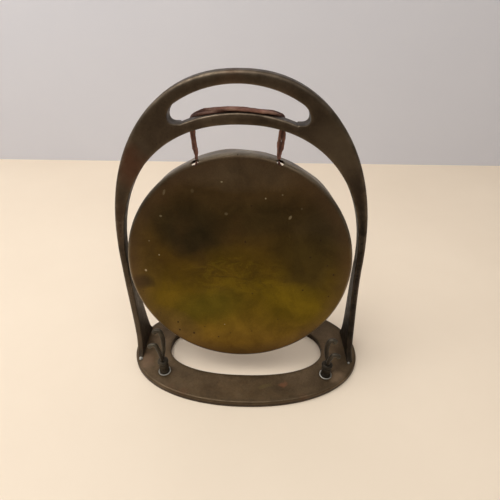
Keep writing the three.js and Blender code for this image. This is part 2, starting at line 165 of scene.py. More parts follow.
def slab(loops, low, high, step):
    """Closed skin of a flat-sided casting with rounded edges.

    loops: (points, low edge radius, high edge radius), radii one per point. The first runs
    counter-clockwise round the material, the others clockwise round its holes. low and high give
    the two faces' height at (u, v). Returns points as (u, v, height), faces and a value per point
    for rubbed edges and painted shade, which is -1 on the walls between the faces, where shade is painted."""
    corner = np.radians([0, 15, 30, 45, 60, 75, 90])
    rings, wear_and_painted_light, faces, first_rings, starts = [], [], [], [], []
    count = 0
    for points, r_low, r_high in loops:
        side = inward(points)
        made = []
        for a in corner:
            at = points + side * (r_high * (1 - math.sin(a)))[:, None]
            made.append((at, high(at) - r_high * (1 - math.cos(a)), math.sin(2 * a) * 0.7 + 0.3))
        top, bottom = made[-1][1], low(points) + r_low
        # the walls between the faces get -1, for painted shade in the shader
        for t in (0.25, 0.5, 0.75):
            made.append((points, top + (bottom - top) * t, -1.0))
        for a in corner[::-1]:
            at = points + side * (r_low * (1 - math.sin(a)))[:, None]
            made.append((at, low(at) + r_low * (1 - math.cos(a)), math.sin(2 * a) * 0.7 + 0.3))
        n = len(points)
        for at, height, worn in made:
            rings.append(np.column_stack([at, height]))
            wear_and_painted_light.append(np.full(n, worn))
        faces += strips(len(made), n, count)
        starts.append((count, count + (len(made) - 1) * n, n))
        first_rings.append(made[0][0])
        count += n * len(made)
    # the faces' inner points lie on an even grid, clear of the edges
    edge = np.vstack(first_rings)
    lo, hi = edge.min(0), edge.max(0)
    gu, gv = np.meshgrid(np.arange(lo[0], hi[0], step), np.arange(lo[1], hi[1], step))
    gu = gu + (np.arange(len(gu)) % 2)[:, None] * step / 2
    grid = np.column_stack([gu.ravel(), gv.ravel()])
    grid = grid[inside(grid, first_rings[0])]
    for hole in first_rings[1:]:
        grid = grid[~inside(grid, hole)]
    near = np.array([np.min(np.sum((edge - g) ** 2, axis=1)) for g in grid])
    grid = grid[near > (0.6 * step) ** 2]
    flat = [Vector(p) for p in np.vstack([edge, grid])]
    lines, n0 = [], 0
    for ring in first_rings:
        n = len(ring)
        lines += [(n0 + j, n0 + (j + 1) % n) for j in range(n)]
        n0 += n
    out, _, tris, origin, _, _ = geometry.delaunay_2d_cdt(flat, lines, [], 1, 1e-6)
    source = [o[0] if o else -1 for o in origin]
    middle = np.array([[sum(out[i][k] for i in t) / 3 for k in (0, 1)] for t in tris])
    keep = inside(middle, first_rings[0])
    for hole in first_rings[1:]:
        keep &= ~inside(middle, hole)
    top_ids = [j + s for s, _, n in starts for j in range(n)] + [count + j for j in range(len(grid))]
    low_ids = [j + e for _, e, n in starts for j in range(n)]
    low_ids += [count + len(grid) + j for j in range(len(grid))]
    rings.append(np.column_stack([grid, high(grid)]))
    rings.append(np.column_stack([grid, low(grid)]))
    wear_and_painted_light += [np.zeros(len(grid)), np.zeros(len(grid))]
    for t, good in zip(tris, keep):
        ids = [source[i] for i in t]
        if good and min(ids) >= 0:
            faces.append(tuple(top_ids[i] for i in ids))
            faces.append(tuple(low_ids[i] for i in reversed(ids)))
    return np.vstack(rings), faces, np.concatenate(wear_and_painted_light)


# ---- materials -------------------------------------------------------------------------------
class Shader:
    """A node material being put together."""

    def __init__(self, name):
        self.material = bpy.data.materials.new(name)
        self.material.use_nodes = True
        self.nodes = self.material.node_tree.nodes
        self.links = self.material.node_tree.links
        self.bsdf = self.nodes["Principled BSDF"]
        self.place = self.add("TexCoord").outputs["Object"]

    def add(self, kind, **inputs):
        node = self.nodes.new("ShaderNode" + kind)
        for label, value in inputs.items():
            node.inputs[label].default_value = value
        return node

    def link(self, a, b):
        self.links.new(a, b)

    def noise(self, scale, detail=4.0, rough=0.55, stretch=(1, 1, 1), distortion=0.0, offset=(0, 0, 0)):
        node = self.add("TexNoise", Scale=scale, Detail=detail, Roughness=rough, Distortion=distortion)
        self.lay(node, offset, stretch)
        return node.outputs["Fac"]

    def cells(self, scale, offset=(0, 0, 0)):
        node = self.add("TexVoronoi", Scale=scale)
        self.lay(node, offset)
        return node.outputs["Distance"]

    def lay(self, texture, offset, stretch=(1, 1, 1)):
        """Lays a texture over the object, shifted and stretched."""
        shift = self.add("Mapping", Location=offset, Scale=stretch)
        self.link(self.place, shift.inputs["Vector"])
        self.link(shift.outputs[0], texture.inputs["Vector"])

    def ramp(self, value, *stops):
        """Grey or colour by value, from (position, colour or grey) stops."""
        node = self.add("ValToRGB")
        ramp = node.color_ramp
        while len(ramp.elements) < len(stops):
            ramp.elements.new(0.5)
        for element, (at, colour) in zip(ramp.elements, stops):
            element.position = at
            grey = isinstance(colour, (int, float))
            element.color = (colour, colour, colour, 1) if grey else (*colour, 1)
        self.link(value, node.inputs["Fac"])
        return node.outputs["Color"]

    def rise(self, value, start, end):
        return self.ramp(value, (start, 0.0), (end, 1.0))

    def fall(self, value, start, end):
        return self.ramp(value, (start, 1.0), (end, 0.0))

    def mix(self, a, b, by, kind="MIX"):
        node = self.add("Mix")
        node.data_type = "RGBA"
        node.blend_type = kind
        for which, value in ((0, by), (6, a), (7, b)):
            socket = node.inputs[which]
            if isinstance(value, (int, float)):
                socket.default_value = value if which == 0 else (value, value, value, 1)
            elif isinstance(value, tuple):
                socket.default_value = (*value, 1)
            else:
                self.link(value, socket)
        return node.outputs[2]

    def math(self, kind, a, b=0.0, clamp=False):
        node = self.add("Math")
        node.operation = kind
        node.use_clamp = clamp
        for socket, value in zip(node.inputs, (a, b)):
            if isinstance(value, (int, float)):
                socket.default_value = value
            else:
                self.link(value, socket)
        return node.outputs[0]

    def warped(self, which, amount, scale, offset=(0, 0, 0)):
        """A coordinate pushed to and fro by up to about amount mm."""
        push = self.minus(self.noise(scale, 3, 0.55, offset=offset), 0.5)
        return self.plus(self.axis(which), self.times(push, amount * 2 * MM))

    def smudge(self, across, up, at, size, lean=0.0, core=0.1):
        """Soft oval patch, at and size in mm: 1 in the middle and 0 outside."""
        c, n = math.cos(math.radians(lean)), math.sin(math.radians(lean))
        dx = self.math("DIVIDE", self.minus(across, at[0] * MM), MM)
        dz = self.math("DIVIDE", self.minus(up, at[1] * MM), MM)
        u = self.plus(self.times(dx, c / size[0]), self.times(dz, n / size[0]))
        v = self.plus(self.times(dx, -n / size[1]), self.times(dz, c / size[1]))
        reach = self.plus(self.times(u, u), self.times(v, v))
        return self.fall(reach, core, 1.0)

    def marks(self, colour, across, up, marks):
        """Patches laid over a colour, each (at, size, lean, tint, strength). A single number darkens."""
        for at, size, lean, tint, strength in marks:
            by = self.times(self.smudge(across, up, at, size, lean), strength)
            kind = "MULTIPLY" if isinstance(tint, float) else "MIX"
            colour = self.mix(colour, tint, by, kind)
        return colour

    def times(self, a, b, clamp=False):
        return self.math("MULTIPLY", a, b, clamp)

    def plus(self, a, b):
        return self.math("ADD", a, b)

    def minus(self, a, b):
        return self.math("SUBTRACT", a, b)

    def most(self, a, b):
        return self.math("MAXIMUM", a, b)

    def axis(self, which):
        node = self.add("SeparateXYZ")
        self.link(self.place, node.inputs[0])
        return node.outputs[which]

    def attribute(self, name):
        node = self.add("Attribute")
        node.attribute_name = name
        return node.outputs["Fac"]

    def bump(self, *layers):
        """(height, strength, distance in mm) layers, one on another."""
        last = None
        for height, strength, distance in layers:
            node = self.add("Bump", Strength=strength, Distance=distance * MM)
            self.link(height, node.inputs["Height"])
            if last is not None:
                self.link(last, node.inputs["Normal"])
            last = node.outputs[0]
        self.link(last, self.bsdf.inputs["Normal"])

    def finish(self, colour, roughness, metallic):
        self.link(colour, self.bsdf.inputs["Base Color"])
        self.link(roughness, self.bsdf.inputs["Roughness"])
        self.bsdf.inputs["Metallic"].default_value = metallic
        return self.material


def bronze(name, dark, mid, light, red, worn, seed=0.0, wear_gain=0.9, metallic=0.72, up=2, marks=(),
           walls=0.7):
    """Old patinated bronze: cloudy browns, reddish patches, dark pits, rubbed edges, scratches.

    marks lie in the plane of X and the up axis, and some of them are painted shade. The walls between two
    faces are darkened to walls as painted shade."""
    s = Shader(name)
    here = (seed, seed * 2, -seed)
    clouds = s.noise(38, 6, 0.62, distortion=0.4, offset=here)
    colour = s.ramp(clouds, (0.33, dark), (0.5, mid), (0.68, light))
    patches = s.rise(s.noise(26, 3, 0.5, offset=(3 + seed, 1, 2)), 0.6, 0.74)
    colour = s.mix(colour, red, s.times(patches, 0.55))
    grain = s.noise(900, 4, 0.7, offset=here)
    colour = s.mix(colour, s.ramp(grain, (0.3, 0.72), (0.7, 1.22)), 0.5, "MULTIPLY")
    specks = s.fall(s.cells(330, offset=here), 0.05, 0.11)
    specks = s.times(specks, s.rise(s.noise(160, 2), 0.48, 0.56))
    colour = s.mix(colour, tuple(0.35 * c for c in dark), specks)
    scratches = s.rise(s.noise(70, 8, 0.75, stretch=(1.0, 1.0, 9.0), distortion=0.3), 0.62, 0.70)
    colour = s.mix(colour, light, s.times(scratches, 0.25))
    if marks:
        colour = s.marks(colour, s.warped(0, 8, 60), s.warped(up, 8, 60, (5, 5, 5)), marks)
    # painted shade: where the per-point value is below 0, on the walls between faces, the colour is
    # darkened to walls
    colour = s.mix(colour, walls, s.times(s.attribute("wear_and_painted_light"), -1.0, clamp=True), "MULTIPLY")
    rub = s.times(s.attribute("wear_and_painted_light"), s.ramp(s.noise(120, 5, 0.6), (0.36, 0.15), (0.66, 1.0)))
    rub = s.times(rub, wear_gain, clamp=True)
    colour = s.mix(colour, worn, rub)
    rough = s.ramp(s.noise(210, 5, 0.6, offset=here), (0.3, 0.40), (0.7, 0.60))
    rough = s.mix(rough, 0.34, s.times(rub, 0.7))
    s.bump((clouds, 0.25, 0.5), (grain, 0.16, 0.09), (s.times(specks, -1.0), 0.4, 0.12))
    return s.finish(colour, rough, metallic)


# patches on the face: (across, height) and half sizes in mm, lean, tint, strength
GONG_DRIFTS = (
    ((-7, 164), (56, 17), 0, (0.122, 0.086, 0.050), 0.7),
    ((-38, 122), (34, 21), -22, (0.034, 0.024, 0.0095), 0.95),
    ((14, 133), (44, 12), 4, (0.045, 0.030, 0.010), 0.75),
    ((54, 122), (26, 30), 0, (0.050, 0.036, 0.017), 0.75),
    ((44, 98), (34, 28), -35, (0.062, 0.042, 0.010), 0.9),
    ((-68, 101), (13, 32), 0, (0.115, 0.070, 0.018), 0.7),
    ((-70, 84), (8, 6), 0, (0.036, 0.024, 0.010), 0.8),
    ((-8, 97), (40, 20), 0, (0.108, 0.068, 0.006), 0.6),
    ((-27, 65), (34, 18), 8, (0.092, 0.075, 0.007), 0.7),
    ((34, 70), (42, 16), -14, (0.145, 0.100, 0.005), 0.7),
    ((-48, 48), (26, 14), -40, (0.150, 0.094, 0.026), 0.6),
)
GONG_PITS = (((-49, 43.4), 0.9), ((-49.8, 50.4), 0.9), ((-38.4, 40.8), 1.0), ((-20, 38), 0.7),
             ((-30, 47), 0.5), ((61, 92), 0.8), ((56, 99), 0.6), ((24, 55), 0.5), ((-62, 58), 0.5))
GONG_FLECKS = (((-14.9, 155.6), (0.8, 0.5), 0, 1.0), ((-51.6, 148.4), (0.9, 2.3), -20, 0.28),
               ((-33.6, 149.6), (1.3, 1.6), 0, 0.12), ((-55.1, 132.7), (1.1, 0.8), 0, 0.4),
               ((28.9, 133.1), (1.0, 1.7), -30, 0.45), ((-12.4, 135.1), (1.3, 1.1), 0, 0.2),
               ((23.3, 147.8), (0.7, 0.6), 0, 0.4), ((-69.1, 93.1), (0.9, 1.0), 20, 1.0),
               ((-64.5, 115.2), (0.7, 0.5), 0, 0.4), ((36, 139), (0.7, 0.8), 0, 0.15))


def gong_metal():
    """Brass face, brown above and yellow-green below (patina and painted reflection), with pits, flecks
    and a scratched middle.
    """
    s = Shader("gong_brass")
    x, z = s.axis(0), s.axis(2)
    # height on the face, pushed about by slow clouds. The ramp over it is patina and painted reflection:
    # yellow low down, where the face mirrors the bright floor, and dull brown higher up, where it mirrors
    # the darker room.
    across = s.warped(0, 12, 22, (5, 0, 1))
    up = s.warped(2, 12, 19)
    low_edge = (GONG["z"] - GONG["radius"]) * MM
    height = s.math("DIVIDE", s.minus(up, low_edge), 0.155)
    colour = s.ramp(
        height,
        (0.00, (0.195, 0.108, 0.016)),
        (0.11, (0.188, 0.112, 0.016)),
        (0.25, (0.142, 0.092, 0.008)),
        (0.42, (0.122, 0.078, 0.006)),
        (0.53, (0.085, 0.050, 0.007)),
        (0.70, (0.066, 0.041, 0.012)),
        (0.88, (0.083, 0.050, 0.020)),
        (1.00, (0.100, 0.067, 0.036)),
    )
    # drifts of brown, olive and yellow
    colour = s.marks(colour, across, up, GONG_DRIFTS)
    mottle = s.noise(52, 6, 0.62, distortion=0.5, offset=(3, 1, 7))
    colour = s.mix(colour, s.ramp(mottle, (0.32, 0.70), (0.68, 1.32)), 0.85, "MULTIPLY")
    brown = s.rise(s.noise(30, 4, 0.55, offset=(1, 8, 3)), 0.54, 0.72)
    colour = s.mix(colour, (0.085, 0.046, 0.016), s.times(brown, 0.4))
    # tarnish close to the edge and on the rim
    edge = s.attribute("edge")
    edge_cloud = s.times(edge, s.ramp(s.noise(60, 5, 0.6, offset=(2, 2, 7)), (0.3, 0.5), (0.7, 1.0)))
    colour = s.mix(colour, (0.105, 0.062, 0.032), s.times(edge_cloud, 0.7))
    rim = s.attribute("rim")
    rim_colour = s.ramp(s.noise(55, 6, 0.65), (0.32, (0.12, 0.098, 0.072)), (0.55, (0.235, 0.198, 0.150)),
                        (0.72, (0.38, 0.33, 0.25)))
    colour = s.mix(colour, rim_colour, s.times(rim, 0.9))
    # lighter line along the shoulder: rubbed metal, and a painted highlight where the rounded shoulder
    # catches the light
    turn = s.times(s.attribute("turn"), s.ramp(s.noise(70, 5, 0.65), (0.36, 0.15), (0.6, 0.9)))
    colour = s.mix(colour, (0.32, 0.26, 0.18), turn)
    front = s.minus(1.0, rim)
    # fine grain, pits and light flecks
    grain = s.noise(1100, 4, 0.7)
    colour = s.mix(colour, s.ramp(grain, (0.3, 0.78), (0.7, 1.2)), 0.55, "MULTIPLY")
    pits = s.fall(s.cells(120, offset=(1, 2, 3)), 0.05, 0.095)
    pits = s.times(pits, s.rise(s.noise(60, 2, offset=(4, 4, 4)), 0.48, 0.54))
    fine_pits = s.fall(s.cells(420, offset=(7, 1, 1)), 0.06, 0.12)
    fine_pits = s.times(fine_pits, s.ramp(s.noise(45, 2, offset=(8, 4, 4)), (0.52, 0.0), (0.62, 0.6)))
    pits = s.most(pits, fine_pits)
    for at, size in GONG_PITS:
        pits = s.most(pits, s.smudge(x, z, at, (size, size), core=0.4))
    colour = s.mix(colour, (0.035, 0.020, 0.010), s.times(pits, 0.85))
    flecks = s.fall(s.cells(95, offset=(3, 9, 5)), 0.03, 0.06)
    flecks = s.times(flecks, s.rise(s.noise(40, 2, offset=(6, 1, 8)), 0.54, 0.6))
    for at, size, lean, strength in GONG_FLECKS:
        flecks = s.most(flecks, s.times(s.smudge(x, z, at, size, lean, core=0.3), strength))
    colour = s.mix(colour, (0.50, 0.42, 0.26), s.times(s.times(flecks, front), 0.8))
    # the rubbed, creased patch at the middle
    middle = s.times(s.smudge(across, up, (-6, 90), (38, 19), -8, core=0.3), front)
    creases = s.noise(110, 9, 0.74, stretch=(0.8, 1.0, 1.5), distortion=0.9)
    crease_mark = s.times(s.rise(creases, 0.50, 0.58), middle)
    colour = s.mix(colour, (0.20, 0.145, 0.010), s.times(crease_mark, 0.26))
    crease_dark = s.times(s.fall(creases, 0.38, 0.45), middle)
    colour = s.mix(colour, (0.045, 0.030, 0.008), s.times(crease_dark, 0.4))
    scratches = s.rise(s.noise(60, 9, 0.78, stretch=(5.0, 1.0, 1.2), distortion=0.5), 0.64, 0.7)
    colour = s.mix(colour, (0.20, 0.15, 0.05), s.times(scratches, 0.22))
    rough = s.ramp(s.noise(75, 6, 0.6, offset=(3, 3, 0)), (0.3, 0.36), (0.7, 0.52))
    rough = s.mix(rough, 0.5, s.times(rim, 0.8))
    s.bump((s.noise(26, 2, 0.5), 0.35, 0.9), (s.times(creases, middle), 0.8, 0.5),
           (grain, 0.12, 0.06), (s.times(pits, -1.0), 0.5, 0.2))
    return s.finish(colour, rough, 0.92)


def leather_material():
    """Reddish-brown lace leather: lengthwise fibres, painted shade where the two strips face each other,
    dry pale edges.
    """
    s = Shader("thong_leather")
    fibres = s.noise(420, 6, 0.7, stretch=(0.35, 1.5, 1.5), distortion=0.6)
    clouds = s.noise(140, 4, 0.6, offset=(2, 1, 0))
    colour = s.ramp(clouds, (0.3, (0.125, 0.047, 0.032)), (0.5, (0.245, 0.103, 0.070)),
                    (0.72, (0.40, 0.22, 0.16)))
    colour = s.mix(colour, s.ramp(fibres, (0.32, 0.45), (0.66, 1.3)), 0.75, "MULTIPLY")
    # painted shade on the sides of the two strips that face each other
    gap_shade = s.rise(s.attribute("gap_shade"), 0.1, 0.8)
    colour = s.mix(colour, (0.035, 0.014, 0.010), s.times(gap_shade, 0.7))
    dry = s.times(s.attribute("wear_and_painted_light"), s.ramp(clouds, (0.4, 0.2), (0.65, 1.0)))
    colour = s.mix(colour, (0.42, 0.26, 0.19), s.times(dry, 0.5))
    rough = s.ramp(fibres, (0.3, 0.62), (0.7, 0.86))
    s.bump((fibres, 0.6, 0.22), (clouds, 0.35, 0.3))
    return s.finish(colour, rough, 0.0)


# patches on the arch: (across, height) and half sizes in mm, lean, tint, strength. The first and the last
# darken the right arm as painted shade.
ARCH_MARKS_AND_SHADE = (
    ((90, 85), (46, 122), 0, 0.15, 1.0),
    ((-84, 115), (24, 45), 0, 0.68, 0.9),
    ((-70, 168), (16, 22), 30, (0.105, 0.042, 0.022), 0.55),
    ((-86, 128), (12, 22), 0, (0.070, 0.036, 0.020), 0.35),
    ((-84, 25), (12, 42), 0, (0.105, 0.080, 0.056), 0.7),
    ((58, 182), (24, 20), -35, (0.088, 0.066, 0.041), 0.6),
    ((86, 60), (26, 85), 0, 0.50, 1.0),
)
# patches on the base: (across, depth) and half sizes in mm, lean, tint, strength. The last two darken the
# back half as painted shade from the gong and arch.
BASE_MARKS_AND_SHADE = (
    ((29.9, -37.6), (4.0, 3.4), 0, (0.32, 0.125, 0.062), 0.45),
    ((72, -29), (9, 6), 30, (0.30, 0.200, 0.115), 0.7),
    ((-79, -17), (7, 12), 20, (0.26, 0.170, 0.105), 0.6),
    ((17, -40), (7, 3), 0, (0.20, 0.150, 0.060), 0.4),
    ((-50, 35), (50, 34), 0, 0.45, 1.0),
    ((50, 35), (50, 34), 0, 0.55, 1.0),
)
# walls sets how dark the painted shade is on each part's walls between faces
BRONZE = bronze("frame_bronze", (0.042, 0.029, 0.018), (0.060, 0.042, 0.026), (0.082, 0.059, 0.038),
                (0.085, 0.042, 0.022), (0.26, 0.20, 0.14), wear_gain=0.45, metallic=0.88, marks=ARCH_MARKS_AND_SHADE,
                walls=0.6)
BASE_BRONZE = bronze("base_bronze", (0.100, 0.066, 0.036), (0.142, 0.094, 0.050), (0.190, 0.128, 0.072),
                     (0.230, 0.095, 0.045), (0.20, 0.13, 0.09), seed=4.0, wear_gain=0.1, metallic=0.85,
                     up=1, marks=BASE_MARKS_AND_SHADE, walls=0.34)
FORK_BRONZE = bronze("rest_bronze", (0.024, 0.018, 0.012), (0.040, 0.031, 0.020), (0.072, 0.056, 0.036),
                     (0.060, 0.038, 0.024), (0.17, 0.15, 0.11), seed=7.0, wear_gain=0.4)
BRIGHT = bronze("bright_brass", (0.30, 0.27, 0.22), (0.52, 0.49, 0.42), (0.74, 0.71, 0.63),
                (0.16, 0.12, 0.08), (0.80, 0.77, 0.68), seed=9.0, metallic=0.35, walls=0.4)
GONG_METAL = gong_metal()
LEATHER = leather_material()


# ---- base plate ------------------------------------------------------------------------------
def base_plate():
    turn = around(900)
    outer = resample(np.column_stack(oval(turn, BASE["half_x"], BASE["half_y"], BASE["power"])), 1.1)
    hole = np.column_stack(oval(-turn, OPENING["half_x"], OPENING["half_y"], OPENING["power"]))
    hole = resample(hole, 1.1)
    loops = [
        (outer, np.full(len(outer), 0.5), np.full(len(outer), BASE["round"])),
        (hole, np.full(len(hole), 0.2), np.full(len(hole), OPENING["round"])),
    ]
    small = -around(64)
    for side, _ in SIDES:
        r = BUSH["outer"] + 0.15
        ring = np.column_stack([side * REST["x"] + r * np.cos(small), REST["y"] + r * np.sin(small)])
        loops.append((ring, np.full(64, 0.1), np.full(64, 0.25)))
    top = lambda p: BASE["thick"] - 0.05 * (1 - np.cos(p[:, 0] / 9.0) * np.sin(p[:, 1] / 8.0)) / 2
    points, faces, wear_and_painted_light = slab(loops, lambda p: np.zeros(len(p)), top, 2.2)
    wear_and_painted_light = np.where(wear_and_painted_light > 0, -0.45, wear_and_painted_light)  # rounded edges darkened as painted shade, unlike the arch's
    make_object("base_casting", points, faces, BASE_BRONZE, "stand", ["base_plate"],
                sharp=50, values={"wear_and_painted_light": wear_and_painted_light})


# ---- arch ------------------------------------------------------------------------------------
def arch_shift(z):
    up = smooth((z - FOOT_Z) / (ARCH["spring_z"] - FOOT_Z))
    return FOOT_SHIFT + (ARCH_SHIFT - FOOT_SHIFT) * up


def arch_front(z):
    low = np.maximum(0, (100 - z) / 95)
    return -(5 + 3.7 * low ** 2.2 + 6 * np.exp(-(z - FOOT_Z) / 6) + smooth((z - 110) / 80))


def arch_rear(z):
    low = np.maximum(0, (100 - z) / 95)
    return 3.6 + 12.6 * low ** 1.3 + 4.5 * np.exp(-(z - FOOT_Z) / 6) + 0.5 * smooth((z - 110) / 80)


def arch_outlines():
    """Outer and inner (x, z) from the left foot over the crown to the right foot."""
    down = np.linspace(0, 1, 90, endpoint=False) ** 1.5
    z = FOOT_Z + (ARCH["spring_z"] - FOOT_Z) * down
    t = (ARCH["spring_z"] - z) / (ARCH["spring_z"] - FOOT_Z)
    turn = np.linspace(math.pi, 0, 400)
    lines = []
    for which in ("outer", "inner"):
        half = ARCH[which + "_half"]
        leg = half + (ARCH["foot_" + which] - half) * t
        x, rise = oval(turn, half, ARCH[which + "_rise"], ARCH["power"])
        lines.append(np.vstack([
            np.column_stack([-leg, z]),
            np.column_stack([x, ARCH["spring_z"] + rise]),
            np.column_stack([leg, z])[::-1],
        ]))
    outer, inner = lines
    width = np.linalg.norm(outer - inner, axis=1)
    for line in (outer, inner):
        line[:, 0] += arch_shift((outer[:, 1] + inner[:, 1]) / 2)
    return outer, inner, width


def slot_loop():
    """Clockwise outline of the crescent above the bar."""
    top_c = SLOT["top_z"] - SLOT["top_radius"]
    bar_c = BAR["top_z"] - BAR["top_radius"]
    end = SLOT["end_x"]
    xs = np.linspace(-end, end, 160)
    over = np.column_stack([xs, top_c + np.sqrt(SLOT["top_radius"] ** 2 - xs ** 2)])
    corner = over[-1]
    lean = end / (corner[1] - top_c)
    control = np.array([corner, (end + 3.9, corner[1] - 3.9 * lean), (end + 7.4, SLOT["floor_z"]),
                        (end, SLOT["floor_z"])])
    t = np.linspace(0, 1, 40)[1:, None]
    cap = ((1 - t) ** 3 * control[0] + 3 * (1 - t) ** 2 * t * control[1]
           + 3 * (1 - t) * t ** 2 * control[2] + t ** 3 * control[3])
    xb = np.linspace(BAR["half"], -BAR["half"], 150)
    bar = np.column_stack([xb, bar_c + np.sqrt(BAR["top_radius"] ** 2 - xb ** 2)])
    step_up = np.linspace((BAR["half"], SLOT["floor_z"]), bar[0], 4)[:-1]
    step_down = np.linspace(bar[-1], (-BAR["half"], SLOT["floor_z"]), 4)[1:]
    left_cap = (cap * (-1, 1))[::-1]
    loop = np.vstack([over, cap, step_up, bar, step_down, left_cap])
    loop[:, 0] += SLOT["x"]
    return loop


def stirrup_arch():
    outer, inner, width = arch_outlines()
    edge = np.minimum(ARCH["outer_edge"], 0.36 * width)
    small = np.minimum(ARCH["inner_edge"], 0.2 * width)
    foot = 8
    sole = lambda a, b: np.linspace(a, b, foot + 2)[1:-1]
    body = np.vstack([
        np.column_stack([outer[::-1], edge[::-1]]),
        np.column_stack([sole(outer[0], inner[0]), np.full(foot, 0.25)]),
        np.column_stack([inner, small]),
        np.column_stack([sole(inner[-1], outer[-1]), np.full(foot, 0.25)]),
    ])
    body = resample(body, 0.9)
    hole = resample(slot_loop(), 0.7)
    near_bar = (np.abs(hole[:, 0] - SLOT["x"]) < BAR["half"]) & (hole[:, 1] < 199)
    hole_edge = np.where(near_bar, 1.1, 0.7)
    back_edge = np.where(near_bar, 0.4, 0.7)

    def rear(p):
        across = np.abs(p[:, 0] - SLOT["x"])
        recess = smooth((BAR["half"] + 0.3 - across) / 0.6) * (p[:, 1] > 180) * (p[:, 1] < 199.5)
        plain = arch_rear(p[:, 1])
        return plain + (np.minimum(plain, BAR["rear_y"]) - plain) * recess

    # seen from the front, +v up and +u right, the height is towards the viewer: -y
    points, faces, wear_and_painted_light = slab(
        [(body[:, :2], body[:, 2], body[:, 2]), (hole, back_edge, hole_edge)],
        lambda p: -rear(p), lambda p: -arch_front(p[:, 1]), 1.5)
    x, z, y = points[:, 0], points[:, 1], -points[:, 2]
    # the feet's flare is trimmed to the base's outline
    margin = BASE["round"] + 0.2
    across = np.clip(1 - np.abs(y / (BASE["half_y"] - margin)) ** BASE["power"], 0, 1)
    limit = (BASE["half_x"] - margin) * across ** (1 / BASE["power"])
    x = np.where(z < 60, np.clip(x, -limit, limit), x)
    points = np.column_stack([x, y, z])
    # rubbed bright along the bar's front edge; the top of the arch is brightened more on its left as a
    # painted highlight
    across = np.clip(x - SLOT["x"], -BAR["half"] - 1, BAR["half"] + 1)
    bar_line = BAR["top_z"] - BAR["top_radius"] + np.sqrt(BAR["top_radius"] ** 2 - across ** 2)
    bar_edge = (np.abs(x - SLOT["x"]) < BAR["half"] + 1) & (np.abs(z - bar_line) < 1.3) & (y < -3)
    left_crown_highlight = smooth((z - 205) / 12) * smooth((10 - x) / 40) * 0.8
    # no painted shade on the walls high up on the arch
    wear_and_painted_light = np.where(z > 150, np.maximum(wear_and_painted_light, 0), wear_and_painted_light)
    wear_and_painted_light = wear_and_painted_light * np.where(z > 60, 1.0, 0.6) * np.where(bar_edge, 2.2, 1.0 + left_crown_highlight)
    make_object("arch_casting", points, faces, BRONZE, "stand", ["stirrup_arch"],
                sharp=60, values={"wear_and_painted_light": wear_and_painted_light})


# ---- gong ------------------------------------------------------------------------------------
def gong_place(points):
    """From the gong's own frame (face towards -Y) to its place."""
    a = -GONG["tilt"]
    y = points[:, 1] * math.cos(a) - points[:, 2] * math.sin(a)
    z = points[:, 1] * math.sin(a) + points[:, 2] * math.cos(a)
    return np.column_stack([points[:, 0] + GONG["x"], y + GONG["y"], z + GONG["z"]])


def hole_mouth(side):
    x = -GONG["hole_left"] if side < 0 else GONG["hole_right"]
    out = GONG["radius"] - GONG["shoulder"] + GONG["shoulder"] * math.sin(GONG["hole_angle"])
    back = GONG["shoulder"] * (1 - math.cos(GONG["hole_angle"]))
    return np.array([x, back, math.sqrt(out ** 2 - x ** 2)])


def hole_axis():
    """Into the dish, in the gong's own frame."""
    a = -GONG["hole_angle"]
    return np.array([0.0, math.cos(a), math.sin(a)])


